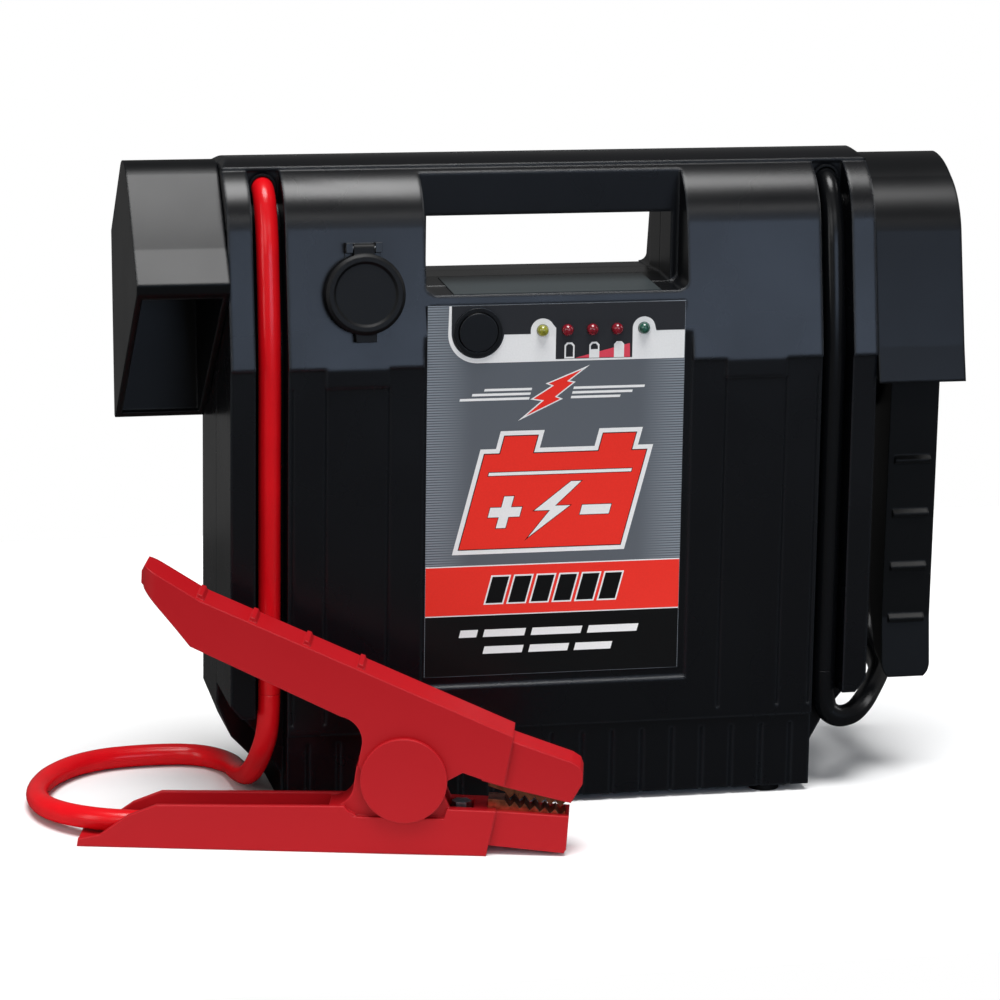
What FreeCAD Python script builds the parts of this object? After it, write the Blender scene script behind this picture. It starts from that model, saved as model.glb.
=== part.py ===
"""Jump starter pack: a portable 12 V battery in an upright case with a handle opening,
two cable channels, two clamp holsters, and a pair of sprung battery clamps.

Frame: X to the pack's right, Y to its back (the face looks along -Y), Z up.
The origin is under the middle of the case, on the surface that its feet stand on.
"""
import FreeCAD, Part
import math
import os

import Sketcher
from FreeCAD import Placement, Rotation, Vector

doc = FreeCAD.newDocument("jump_starter_pack")

# ---------------------------------------------------------------- driving dimensions

sheet = doc.addObject("Spreadsheet::Sheet", "Dimensions")
DIMENSIONS = {
    "case_half_width": 147, "case_top": 292, "foot_height": 3,
    "crown_radius": 33, "crown_height": 258, "band_raise": 1,
    "panel_front": 44.5, "panel_recess": 1.5, "step_height": 203.5, "tab_height": 195,
    "skirt_height": 37, "skirt_half_width": 122.5, "label_plane": 42,
    "tab_inner": 76.7, "tab_outer": 104.8, "groove_x": 119.6,
    "opening_half_width": 56, "opening_low": 236, "opening_high": 266.6, "rim_half_width": 59.5,
    "bar_front": 18.5, "rim_low": 233.5, "rim_top": 296,
    "channel_x": 128.7, "channel_width": 14.5, "channel_floor": 30,
    "hood_half_width": 188, "hood_gap": 0.3, "hood_wall": 2.8,
    "cable_diameter": 10, "clamp_width": 23, "clamp_wall": 2.4, "pin_radius": 3,
    "cap_radius": 18.9, "cap_thickness": 2.3,
    "battery_width": 181, "battery_depth": 76, "battery_height": 167, "battery_floor": 8,
    "button_radius": 8.6, "light_radius": 2.6, "control_height": 218.4,
    "socket_x": 87.6, "socket_height": 235.6, "socket_cap_radius": 17.7,
    "socket_bore": 10.5, "screw_head_radius": 3.4,
}
for row, (alias, number) in enumerate(DIMENSIONS.items(), start=1):
    sheet.set(f"A{row}", alias.replace("_", " "))
    sheet.set(f"B{row}", str(number))
    sheet.setAlias(f"B{row}", alias)
doc.recompute()


class Size:
    """A length that carries both its number and the sheet formula behind it."""

    def __init__(self, number, formula):
        self.number = number
        self.formula = formula

    def _join(self, other, sign, number):
        text = other.formula if isinstance(other, Size) else repr(other)
        return Size(number, f"({self.formula} {sign} {text})")

    def __add__(self, other):
        return self._join(other, "+", self.number + plain(other))

    def __sub__(self, other):
        return self._join(other, "-", self.number - plain(other))

    def __mul__(self, other):
        return self._join(other, "*", self.number * plain(other))

    def __truediv__(self, other):
        return self._join(other, "/", self.number / plain(other))

    def __neg__(self):
        return Size(-self.number, f"(0 - {self.formula})")


def plain(value):
    """The bare number of a Size, or the number itself."""
    return value.number if isinstance(value, Size) else float(value)


def size(alias):
    """The sheet's cell of that name, as a Size."""
    return Size(float(sheet.get(alias)), f"Dimensions.{alias}")


def bind(item, name, value):
    """Set a property, and bind it to the sheet where the value comes from there."""
    setattr(item, name, plain(value))
    if isinstance(value, Size):
        item.setExpression(name, value.formula)


# ---------------------------------------------------------------- sketches and features

finished = []


def finish(item, label, placement=None):
    """Name a sub-part, put it in its place and add it to the list that is written out."""
    item.Label = label
    if placement is not None:
        item.Placement = placement.multiply(item.Placement)
    finished.append(item)
    return item


def new_body(name):
    return doc.addObject("PartDesign::Body", name)


def origin_plane(body, role):
    return next(item for item in body.Origin.OriginFeatures if item.Role == role)


def sketch_on(body, name, role, shift=Vector(), turn=Rotation()):
    """An empty sketch on one of the body's own origin planes."""
    sketch = body.newObject("Sketcher::SketchObject", name)
    sketch.AttachmentSupport = [(origin_plane(body, role), "")]
    sketch.MapMode = "FlatFace"
    sketch.AttachmentOffset = Placement(shift, turn)
    return sketch


def pin_point(sketch, edge, end, point):
    """Hold one end of an edge at its distances from the sketch's origin."""
    for kind, value in (("DistanceX", point[0]), ("DistanceY", point[1])):
        index = sketch.addConstraint(Sketcher.Constraint(kind, -1, 1, edge, end, plain(value)))
        if isinstance(value, Size):
            sketch.setExpression(f"Constraints[{index}]", value.formula)


def draw_outline(sketch, points):
    """Close a loop through the points; a point (x, y, (mx, my)) is reached by an arc through m."""
    flat = [Vector(plain(p[0]), plain(p[1]), 0) for p in points]
    first = sketch.GeometryCount
    total = len(points)
    ends = []
    for index, point in enumerate(points):
        start, end = flat[index - 1], flat[index]
        ends.append(2)
        if len(point) == 3:
            middle = Vector(point[2][0], point[2][1], 0)
            clockwise = (middle - start).cross(end - middle).z < 0
            if clockwise:
                start, end = end, start
                ends[index] = 1
            sketch.addGeometry(Part.Arc(start, middle, end))
        else:
            sketch.addGeometry(Part.LineSegment(start, end))
    for index in range(total):
        after = (index + 1) % total
        sketch.addConstraint(Sketcher.Constraint(
            "Coincident", first + index, ends[index], first + after, 3 - ends[after]))
        pin_point(sketch, first + index, ends[index], points[index])
        if len(points[index]) == 3:
            sketch.addConstraint(Sketcher.Constraint(
                "Radius", first + index, sketch.Geometry[first + index].Radius))
    return sketch


def draw_circle(sketch, x, y, radius):
    index = sketch.addGeometry(Part.Circle(Vector(plain(x), plain(y), 0), Vector(0, 0, 1), plain(radius)))
    pin_point(sketch, index, 3, (x, y))
    held = sketch.addConstraint(Sketcher.Constraint("Radius", index, plain(radius)))
    if isinstance(radius, Size):
        sketch.setExpression(f"Constraints[{held}]", radius.formula)
    return sketch


def box_points(x0, z0, x1, z1):
    return [(x0, z0), (x1, z0), (x1, z1), (x0, z1)]


def add_pad(body, sketch, length, midplane=False, reverse=False):
    pad = body.newObject("PartDesign::Pad", sketch.Name + "_pad")
    pad.Profile = sketch
    bind(pad, "Length", length)
    pad.Midplane = midplane
    pad.Reversed = reverse
    return pad


def add_pocket(body, sketch, length, midplane=False, reverse=False):
    before = body.Tip.Name
    pocket = body.newObject("PartDesign::Pocket", sketch.Name + "_cut")
    pocket.Profile = sketch
    bind(pocket, "Length", length)
    pocket.Midplane = midplane
    pocket.Reversed = reverse
    doc.recompute()
    if doc.getObject(before).Shape.Volume - pocket.Shape.Volume < 0.01:
        raise RuntimeError(f"{pocket.Name} removes nothing")
    return pocket


def cut_outward(body, name, outlines, start, depth, facing):
    """Cut loops drawn in the XZ plane from |Y| = start outward, on the side that the shell faces."""
    sketch = sketch_on(body, name, "XZ_Plane", Vector(0, 0, -facing * plain(start)))
    for outline in outlines:
        draw_outline(sketch, outline)
    return add_pocket(body, sketch, depth, reverse=facing < 0)


def mirrored(points):
    """The same outline on the other side of the sketch's upright axis."""
    return [(-p[0], p[1]) + tuple((-m[0], m[1]) for m in p[2:]) for p in points]


FRONT = -1
BACK = 1

# ---------------------------------------------------------------- the case's section

LEAN = math.radians(10.4)
CROWN_CENTRE = 0.9
crown = plain(size("crown_radius"))
crown_z = plain(size("crown_height"))
band = crown + plain(size("band_raise"))
BAND_HALF_DEPTH = 15.5
lean_start = (CROWN_CENTRE + crown * math.cos(LEAN), crown_z + crown * math.sin(LEAN))


def on_crown(radius, angle):
    """A point of the rounded top, as (distance from the parting plane, height)."""
    return CROWN_CENTRE + radius * math.cos(angle), crown_z + radius * math.sin(angle)


def lean_depth(height, inset=0.0):
    """How far the leaning panel stands from the parting plane at a height."""
    return lean_start[0] - inset / math.cos(LEAN) + (lean_start[1] - height) * math.tan(LEAN)


def section_outside(facing):
    """The space outside the rounded and leaning face, as a loop of (Y, Z)."""
    band_angle = math.acos((BAND_HALF_DEPTH - CROWN_CENTRE) / band)
    band_top = on_crown(band, math.pi / 2)
    band_mid = on_crown(band, (math.pi / 2 + band_angle) / 2)
    band_end = on_crown(band, band_angle)
    crown_top = on_crown(crown, band_angle)
    crown_mid = on_crown(crown, (band_angle + LEAN) / 2)
    loop = [
        (band_top[0], band_top[1]),
        (band_end[0], band_end[1], band_mid),
        crown_top,
        (lean_start[0], lean_start[1], crown_mid),
        (size("panel_front"), lean_start[1] - (plain(size("panel_front")) - lean_start[0]) / math.tan(LEAN)),
        (size("panel_front"), -5),
        (80, -5),
        (80, 310),
        (band_top[0], 310),
    ]
    return loop if facing > 0 else mirrored(loop)


def case_outline(corner):
    """The case seen from the front; corner holds the lower right corner's slanted edges."""
    half = size("case_half_width")
    right = [(half - 3.5, size("case_top")), (half, size("case_top") - 3.5)] + corner
    right.append((size("skirt_half_width"), size("foot_height")))
    return right + [(-x, z) for x, z in reversed(right)]


def new_shell(name, facing, corner):
    """Half of the case: its outline padded from the parting plane, then cut to the section."""
    shell = new_body(name)
    outline = draw_outline(sketch_on(shell, name + "_outline", "XZ_Plane"), case_outline(corner))
    add_pad(shell, outline, 60, reverse=facing > 0)
    section = sketch_on(shell, name + "_section", "YZ_Plane")
    draw_outline(section, section_outside(facing))
    add_pocket(shell, section, 400, midplane=True)
    return shell


def hollow(shell, name, facing, inner, depths):
    """Cut the space inside a shell: (x0, z0, x1, z1, depth) boxes, mirrored where x0 is above 0."""
    for index, (x0, z0, x1, z1, depth) in enumerate(depths):
        loops = [box_points(x0, z0, x1, z1)]
        if x0 > 0:
            loops.append(mirrored(loops[0]))
        cut_outward(shell, f"{name}_{inner}_{index}", loops, 0, depth, facing)


RIM_CORNER = 3.5


def open_handle(shell, name, facing):
    """The hand opening under the handle bar, with its deeper rim on the outer side."""
    half = size("opening_half_width")
    low = size("opening_low")
    high = size("opening_high")
    through = draw_outline(sketch_on(shell, name + "_hand_hole", "XZ_Plane"),
                           box_points(-half, low, half, high))
    add_pocket(shell, through, 200, midplane=True)
    sill = sketch_on(shell, name + "_sill", "YZ_Plane")
    draw_outline(sill, [(0, low), (facing * 60, size("rim_low")), (facing * 60, high), (0, high)])
    add_pocket(shell, sill, half * 2, midplane=True)
    rim = plain(size("rim_half_width"))
    top = size("rim_top")
    corner = plain(low) + RIM_CORNER - 1
    turn = RIM_CORNER * (1 - math.sqrt(0.5))
    floor = corner - RIM_CORNER
    cut_outward(shell, name + "_rim", [[
        (-rim, top), (-rim, corner),
        (RIM_CORNER - rim, floor, (turn - rim, floor + turn)), (rim - RIM_CORNER, floor),
        (rim, corner, (rim - turn, floor + turn)), (rim, top)]], plain(size("bar_front")), 40, facing)


# ---------------------------------------------------------------- front shell

FRONT_CORNER = [(size("case_half_width"), 52), (132, 34), (124, 19), (size("skirt_half_width"), 17)]
front_shell = new_shell("front_shell", FRONT, FRONT_CORNER)
panel = size("panel_front")
recessed = size("panel_front") - size("panel_recess")
step_z = size("step_height")
tab_z = size("tab_height")
EDGE = 160
lower_panel = [(-EDGE, step_z), (-size("tab_outer"), step_z), (-size("tab_outer"), tab_z),
               (-size("tab_inner"), tab_z), (-size("tab_inner"), step_z), (size("tab_inner"), step_z),
               (size("tab_inner"), tab_z), (size("tab_outer"), tab_z), (size("tab_outer"), step_z),
               (EDGE, step_z), (EDGE, -5), (-EDGE, -5)]
cut_outward(front_shell, "lower_panel", [lower_panel], recessed, 30, FRONT)
cut_outward(front_shell, "skirt", [box_points(-EDGE, -5, EDGE, size("skirt_height"))],
            recessed - 1.5, 30, FRONT)

SKIRT_GROOVE_PITCH = 14
groove_centres = [SKIRT_GROOVE_PITCH * (n - 8) for n in range(17)]
cut_outward(front_shell, "skirt_grooves", [box_points(x - 0.9, -5, x + 0.9, 33) for x in groove_centres],
            recessed - 2.5, 30, FRONT)
panel_lines = []
for alias in ("tab_inner", "tab_outer", "groove_x"):
    line = box_points(size(alias) - 0.5, 42, size(alias) + 0.5, tab_z - 0.2)
    panel_lines += [line, mirrored(line)]
cut_outward(front_shell, "panel_lines", panel_lines, recessed - 0.6, 30, FRONT)

LABEL_RECESS_HALF = 61
cut_outward(front_shell, "label_recess", [box_points(-LABEL_RECESS_HALF, 57, LABEL_RECESS_HALF, 231)],
            size("label_plane"), 30, FRONT)
open_handle(front_shell, "front", FRONT)

# the two vertical channels that hold the cables, behind the face by the cable's width
CHANNEL_INSET = 13.5
channel_arc = crown - CHANNEL_INSET
CHANNEL_TOP_DEPTH = 14
top_angle = math.acos((CHANNEL_TOP_DEPTH - CROWN_CENTRE) / channel_arc)
channel_lean = on_crown(channel_arc, LEAN)
floor_depth = plain(size("channel_floor"))
floor_top = channel_lean[1] - (floor_depth - channel_lean[0]) / math.tan(LEAN)
channel_middle = on_crown(channel_arc, (top_angle + LEAN) / 2)
for side in (-1, 1):
    channel = sketch_on(front_shell, "channel_right" if side > 0 else "channel_left", "YZ_Plane",
                        Vector(0, 0, side * plain(size("channel_x"))))
    draw_outline(channel, [
        (-CHANNEL_TOP_DEPTH, on_crown(channel_arc, top_angle)[1]),
        (-channel_lean[0], channel_lean[1], (-channel_middle[0], channel_middle[1])),
        (-size("channel_floor"), floor_top),
        (-size("channel_floor"), -5),
        (-80, -5),
        (-80, 287.5),
        (-CHANNEL_TOP_DEPTH, 287.5),
    ])
    add_pocket(front_shell, channel, size("channel_width"), midplane=True)
notch = box_points(size("channel_x"), -5, EDGE, 46)
cut_outward(front_shell, "cable_exits", [notch, mirrored(notch)], size("channel_floor") + 0.5, 40, FRONT)

hollow(front_shell, "front", FRONT, "room", [
    (-118, 44, 118, 207, 39.5),
    (-58, 206.9, 58, 229.5, 39.5),
    (-118, 206.9, -57.9, 229.5, 36.5),
    (57.9, 206.9, 118, 229.5, 36.5),
    (-118, 7, 118, 44.1, 38),
    (66, 229.4, 118, 262, 29.5),
    (-62.1, 271, 62.1, 281, 15.5),
    (62, 271, 118, 281, 20),
    (66, 261.9, 118, 271.1, 20),
    (117.9, 58, 143.5, 210, 26),
    (117.9, 209.9, 143.5, 281, 8),
    (120, 280.9, 137.5, 286, 7),
])

# round holes: accessory socket, cable grommets, button and indicator lights
socket_depth = lean_depth(plain(size("socket_height")))
socket_hole = sketch_on(front_shell, "socket_hole", "XZ_Plane",
                        Vector(-plain(size("socket_x")), plain(size("socket_height")), socket_depth),
                        Rotation(Vector(1, 0, 0), -math.degrees(LEAN)))
draw_circle(socket_hole, 0, 0, 14.2)
add_pocket(front_shell, socket_hole, 40, midplane=True)
GROMMET_HEIGHT = 280
LIGHT_XS = [-7.8, 3.5, 14.8, 26.1, 38.4]
BUTTON_X = -37
GROMMET_RADIUS = 6
round_holes = sketch_on(front_shell, "round_holes", "XZ_Plane", Vector(0, 0, -0.5))
for side in (-1, 1):
    draw_circle(round_holes, side * plain(size("channel_x")), GROMMET_HEIGHT, GROMMET_RADIUS)
draw_circle(round_holes, BUTTON_X, size("control_height"), size("button_radius") + 0.4)
for x in LIGHT_XS:
    draw_circle(round_holes, x, size("control_height"), size("light_radius") + 0.1)
add_pocket(front_shell, round_holes, 60, reverse=True)
finish(front_shell, "front_shell")

# ---------------------------------------------------------------- rear shell

REAR_CORNER = [(size("case_half_width"), 42), (140.5, 26), (131.5, 16.5), (size("skirt_half_width"), 13)]
rear_shell = new_shell("rear_shell", BACK, REAR_CORNER)
rear_panel = [(-EDGE, step_z), (EDGE, step_z), (EDGE, -5), (-EDGE, -5)]
cut_outward(rear_shell, "rear_lower_panel", [rear_panel], recessed, 30, BACK)
cut_outward(rear_shell, "rear_skirt", [box_points(-EDGE, -5, EDGE, size("skirt_height"))],
            recessed - 1.5, 30, BACK)
cut_outward(rear_shell, "rear_skirt_grooves", [box_points(x - 0.9, -5, x + 0.9, 33) for x in groove_centres],
            recessed - 2.5, 30, BACK)
cut_outward(rear_shell, "rear_label_recess", [box_points(-75, 80, 75, 190)], recessed - 0.8, 30, BACK)
open_handle(rear_shell, "rear", BACK)
hollow(rear_shell, "rear", BACK, "room", [
    (-118, 44, 118, 207, 38.3),
    (-118, 206.9, 118, 229.5, 36),
    (-118, 7, 118, 44.1, 38),
    (66, 229.4, 143.5, 262, 29.5),
    (-62.1, 271, 62.1, 281, 15.5),
    (62, 271, 118, 281, 20),
    (66, 261.9, 143.5, 271.1, 20),
    (117.9, 58, 143.5, 207, 38.3),
    (117.9, 206.9, 143.5, 229.5, 36),
    (117.9, 271, 143.5, 281, 20),
    (120, 280.9, 137.5, 286, 16),
])
INLET_X = 104
INLET_Z = 60
SCREW_SPOTS = [(x, z) for x in (-108, 108) for z in (90, 186, 246)]
SCREW_SPOTS += [(-60, 24), (60, 24)]
rear_holes = sketch_on(rear_shell, "rear_holes", "XZ_Plane", Vector(0, 0, -25))
draw_circle(rear_holes, INLET_X, INLET_Z, 8)
for x, z in SCREW_SPOTS:
    draw_circle(rear_holes, x, z, size("screw_head_radius") + 0.1)
add_pocket(rear_shell, rear_holes, 60)
finish(rear_shell, "rear_shell")

# ---------------------------------------------------------------- simple solids

FACE_FRONT = Rotation(Vector(1, 0, 0), 90)
FACE_BACK = Rotation(Vector(1, 0, 0), -90)


def block(name, x0, y0, z0, width, depth, height):
    """A box from its low corner."""
    item = doc.addObject("Part::Box", name)
    bind(item, "Length", width)
    bind(item, "Width", depth)
    bind(item, "Height", height)
    item.Placement = Placement(Vector(x0, y0, z0), Rotation())
    return item


def rod(name, radius, height, base=Vector(), turn=Rotation()):
    """A cylinder that starts at base and runs along its own turned Z axis."""
    item = doc.addObject("Part::Cylinder", name)
    bind(item, "Radius", radius)
    bind(item, "Height", height)
    item.Placement = Placement(base, turn)
    return item


def minus(name, base, tool):
    item = doc.addObject("Part::Cut", name)
    item.Base = base
    item.Tool = tool
    return item


def joined(name, items):
    item = doc.addObject("Part::MultiFuse", name)
    item.Shapes = items
    return item


def group(name, items):
    """Several separate solids kept as one sub-part."""
    item = doc.addObject("Part::Compound", name)
    item.Links = items
    return item


def ring(name, outer, inner, height, base=Vector(), turn=Rotation()):
    hole = rod(name + "_hole", inner, plain(height) + 2, base - turn.multVec(Vector(0, 0, 1)), turn)
    return minus(name, rod(name + "_disc", outer, height, base, turn), hole)


# ---------------------------------------------------------------- holsters

def inset_loop(points, insets):
    """Move each side of a loop inward by its own amount; side n runs from point n to n + 1."""
    total = len(points)
    area = sum(points[n][0] * points[(n + 1) % total][1] - points[(n + 1) % total][0] * points[n][1]
               for n in range(total))
    turn = 1 if area > 0 else -1
    lines = []
    for n, amount in enumerate(insets):
        ax, ay = points[n][:2]
        bx, by = points[(n + 1) % total][:2]
        length = math.hypot(bx - ax, by - ay)
        nx, ny = -(by - ay) / length * turn, (bx - ax) / length * turn
        lines.append((nx, ny, nx * ax + ny * ay + amount))
    corners = []
    for n in range(total):
        a1, b1, c1 = lines[n - 1]
        a2, b2, c2 = lines[n]
        det = a1 * b2 - a2 * b1
        corners.append(((c1 * b2 - c2 * b1) / det, (a1 * c2 - a2 * c1) / det))
    return corners


def holster(name, side, outline, mouth_sides, bar):
    """A hood on the case's side: a closed prism, hollow, and open along its mouth sides."""
    hood = new_body(name)
    near = plain(size("case_half_width")) + plain(size("hood_gap"))
    far = plain(size("hood_half_width"))
    wall = plain(size("hood_wall"))
    outer = sketch_on(hood, name + "_outside", "YZ_Plane", Vector(0, 0, side * near))
    draw_outline(outer, outline)
    add_pad(hood, outer, size("hood_half_width") - near, reverse=side < 0)
    insets = [-12 if n in mouth_sides else wall for n in range(len(outline))]
    inner = sketch_on(hood, name + "_inside", "YZ_Plane", Vector(0, 0, side * (near + wall)))
    draw_outline(inner, inset_loop(outline, insets))
    add_pocket(hood, inner, far - near - 2 * wall, reverse=side > 0)
    post = draw_outline(sketch_on(hood, name + "_post", "YZ_Plane", Vector(0, 0, side * (near + 1))), bar)
    add_pad(hood, post, far - near - 2, reverse=side < 0)
    return finish(hood, name)


LEFT_HOOD = [(2, 290.5, (-4.2, 288.9)), (11, 287, (6.9, 289.6)), (46, 252.5), (38.5, 169), (35.5, 168.6),
             (-44.6, 238.6), (-45.2, 243), (-33.5, 256.5), (-9.3, 285.6, (-20.9, 272.6))]
LEFT_BAR = [(-4, 262), (6, 262), (6, 270), (-4, 270)]
holster("left_holster", -1, LEFT_HOOD, (4,), LEFT_BAR)
RIGHT_HOOD = [(11.8, 287.7, (-2.2, 285.8)), (48, 262), (48, 236), (-47.4, 191), (-43.3, 206.9),
              (-32.8, 257.8), (-15, 280, (-26.8, 270.4))]
RIGHT_BAR = [(6, 228), (19, 228), (19, 242), (6, 242)]
holster("right_holster", 1, RIGHT_HOOD, (2,), RIGHT_BAR)

# ---------------------------------------------------------------- feet and screws

FOOT_XS = (-102.6, 102.6)
feet = []
for x in FOOT_XS:
    for y in (-33, 33):
        feet.append(rod(f"foot_{len(feet)}", 7, size("foot_height"), Vector(x, y, 0)))
finish(group("feet_group", feet), "feet")

screws = []
HEAD_LENGTH = 2.3
for index, (x, z) in enumerate(SCREW_SPOTS):
    head_low = plain(recessed) - 3.4
    if z > plain(step_z):
        head_low = lean_depth(z) - 4.5
    if z < plain(size("skirt_height")):
        head_low = plain(recessed) - 4.8
    head = rod(f"case_screw_{index}", size("screw_head_radius"), HEAD_LENGTH, Vector(x, head_low, z),
               FACE_BACK)
    slot = block(f"case_screw_slot_{index}", x - 2.6, head_low + HEAD_LENGTH - 1, z - 0.5, 5.2, 3, 1)
    screws.append(minus(f"case_screw_cut_{index}", head, slot))
finish(group("case_screw_group", screws), "case_screws")

# ---------------------------------------------------------------- battery and inner leads

battery_top = plain(size("battery_floor")) + plain(size("battery_height"))
half_battery = plain(size("battery_width")) / 2
half_depth = plain(size("battery_depth")) / 2
LID_HEIGHT = 16
finish(block("battery_box", -half_battery, -half_depth, plain(size("battery_floor")), size("battery_width"),
             size("battery_depth"), size("battery_height") - LID_HEIGHT), "battery_case")
lid_body = block("battery_lid_block", -half_battery, -half_depth, battery_top - LID_HEIGHT,
                 size("battery_width"), size("battery_depth"), LID_HEIGHT)
TERMINAL_X = 72
LEAD_RISE = 4.9
wells = [block(f"terminal_well_{side}", side * TERMINAL_X - 11, -11, battery_top - 6, 22, 22, 8)
         for side in (-1, 1)]
finish(minus("battery_lid_cut", lid_body, group("terminal_wells", wells)), "battery_lid")
for side, name in ((-1, "positive"), (1, "negative")):
    x = side * TERMINAL_X
    stud = rod(name + "_stud", 4, 12, Vector(x, 0, battery_top - 6))
    base = block(name + "_base", x - 8, -8, battery_top - 6, 16, 16, 4)
    finish(joined(name + "_terminal_fuse", [stud, base]), name + "_terminal")
    tongue = block(name + "_tongue", x - 8, -8, battery_top - 1.9, 16, 16, 2.6)
    barrel = rod(name + "_barrel", 4.6, 18, Vector(x + side * 7, 0, battery_top + LEAD_RISE),
                 Rotation(Vector(0, 1, 0), side * 90))
    hole = rod(name + "_lug_hole", 4.02, 30, Vector(x, 0, battery_top - 10))
    finish(minus(name + "_lug_cut", joined(name + "_lug_fuse", [tongue, barrel]), hole), name + "_lug")
pads = []
for x0 in (-70, 30):
    for z0 in (46, 112):
        pads.append(block(f"pad_{len(pads)}", x0, -half_depth - 1.35, z0, 40, 1.3, 40))
finish(group("pad_group", pads), "battery_pads")

# ---------------------------------------------------------------- tubes along a route

ARC_SHARE = 0.45


def tube(route, radius, name):
    """A round tube along straight runs joined by tangent arcs; each arc takes 0.45 of its shorter run."""
    points = [Vector(*p) for p in route]
    edges = []
    radii = []
    start = points[0]
    for before, corner, after in zip(points, points[1:], points[2:]):
        inward = (before - corner).normalize()
        outward = (after - corner).normalize()
        turn = math.pi - inward.getAngle(outward)
        reach = ARC_SHARE * min((before - corner).Length, (after - corner).Length)
        arc_radius = reach / math.tan(turn / 2)
        radii.append(arc_radius)
        first = corner + inward * reach
        last = corner + outward * reach
        middle_way = (inward + outward).normalize()
        middle = corner + middle_way * (arc_radius / math.cos(turn / 2) - arc_radius)
        edges.append(Part.LineSegment(start, first).toShape())
        edges.append(Part.Arc(first, middle, last).toShape())
        start = last
    edges.append(Part.LineSegment(start, points[-1]).toShape())
    path = Part.Wire(edges)
    along = (points[1] - points[0]).normalize()
    circle = Part.Wire([Part.makeCircle(radius, points[0], along)])
    solid = path.makePipeShell([circle], True, True)
    ratio = solid.Volume / (math.pi * radius ** 2 * path.Length)
    print(f"{name}: length {path.Length:.0f} mm, radii", [round(r) for r in radii], f"volume {ratio:.4f}")
    return solid


def add_tube(label, route, radius):
    item = doc.addObject("Part::Feature", label)
    item.Shape = tube(route, radius, label)
    return finish(item, label)


cable = plain(size("cable_diameter")) / 2
channel_x = plain(size("channel_x"))
HELD_ROUTE = [(-1, GROMMET_HEIGHT), (-19, GROMMET_HEIGHT), (-28.5, 262), (-36.6, 211), (-36, 150), (-36, 56)]
for side, name in ((-1, "red"), (1, "black")):
    add_tube(f"{name}_channel_cable", [(side * channel_x, y, z) for y, z in HELD_ROUTE], cable)

RED_ROUTE = [(-128.7, -36, 56), (-128.7, -36, 40), (-132.6, -34.5, 26), (-135, -20, 13.5), (-135.5, 6, 7),
             (-137, 30, 5.1), (-150, 45, 5.1), (-174, 47.5, 5.1), (-199, 43, 5.1), (-219, 25, 5.1),
             (-230, -1, 5.1), (-230, -27, 6.2), (-221, -47.5, 8), (-206, -59.5, 8.3),
             (-186.06, -65.73, 8.2), (-165.03, -71.1, 8.2)]
add_tube("red_free_cable", RED_ROUTE, cable)
BLACK_ROUTE = [(128.7, -36, 56), (128.7, -36, 38.7), (134.7, -36.6, 32.7), (143.5, -34.8, 33.2),
               (151, -28, 37), (160, -13, 40.5), (168.5, 3, 43), (172.2, 19, 43.5), (172.6, 34, 46),
               (172.6, 44.5, 52.5), (172.5, 48.87, 64.15), (172.5, 46.42, 99.19)]
add_tube("black_free_cable", BLACK_ROUTE, cable)

LEAD_RADIUS = 4
for side, name in ((-1, "positive"), (1, "negative")):
    lead = [(97.05, 0, battery_top + LEAD_RISE), (112, 0, battery_top + LEAD_RISE),
            (126, 4, battery_top + 20), (channel_x, 11, 225),
            (channel_x, 14, 262), (channel_x, 9.5, GROMMET_HEIGHT),
            (channel_x, -0.95, GROMMET_HEIGHT)]
    add_tube(f"{name}_inner_lead", [(side * x, y, z) for x, y, z in lead], LEAD_RADIUS)

for side, name in ((-1, "red"), (1, "black")):
    inward = Vector(side * channel_x, -15.2, GROMMET_HEIGHT)
    sleeve = rod(name + "_sleeve", GROMMET_RADIUS - 0.05, 9, inward, FACE_BACK)
    collar = rod(name + "_collar", GROMMET_RADIUS + 0.15, 1.15, inward, FACE_BACK)
    bore = rod(name + "_grommet_bore", cable, 20, inward - Vector(0, 5, 0), FACE_BACK)
    finish(minus(name + "_grommet_cut", joined(name + "_grommet_fuse", [sleeve, collar]), bore),
           name + "_cable_grommet")

# ---------------------------------------------------------------- control panel

control_z = plain(size("control_height"))
label_front = plain(size("label_plane"))
LABEL_THICKNESS = 0.4
LABEL_X0, LABEL_X1 = -59.6, 57.4
LABEL_Z0, LABEL_Z1 = 61.5, 230.4
label_holes = [rod("label_button_hole", size("button_radius") + 0.4, 4,
                   Vector(BUTTON_X, -label_front + 2, control_z), FACE_FRONT)]
for index, x in enumerate(LIGHT_XS):
    label_holes.append(rod(f"label_light_hole_{index}", size("light_radius") + 0.1, 4,
                           Vector(x, -label_front + 2, control_z), FACE_FRONT))
label_sheet = block("label_sheet", LABEL_X0, -label_front - LABEL_THICKNESS, LABEL_Z0,
                    LABEL_X1 - LABEL_X0, LABEL_THICKNESS, LABEL_Z1 - LABEL_Z0)
finish(minus("label_cut", label_sheet, group("label_holes", label_holes)), "face_label")

BOARD_FRONT = -33
board = block("board", -52, BOARD_FRONT, 196, 104, 1.6, 28)
finish(board, "circuit_board")
switch_length = 3.6
finish(block("switch_block", BUTTON_X - 3, BOARD_FRONT - switch_length, control_z - 3, 6, switch_length, 6),
       "push_switch")
BUTTON_PROUD = 2.4
button_cap = rod("button_cap", size("button_radius"), BUTTON_PROUD + 3.2,
                 Vector(BUTTON_X, -label_front + 3.2, control_z), FACE_FRONT)
button_lip = rod("button_lip", size("button_radius") + 1.3, 1.0,
                 Vector(BUTTON_X, -label_front + 3.8, control_z), FACE_FRONT)
button_stem = rod("button_stem", 2, 2.2, Vector(BUTTON_X, -label_front + 3.9, control_z), FACE_FRONT)
finish(joined("status_button_fuse", [button_cap, button_lip, button_stem]), "status_button")
ring_base = Vector(BUTTON_X, -label_front - LABEL_THICKNESS, control_z)
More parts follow.
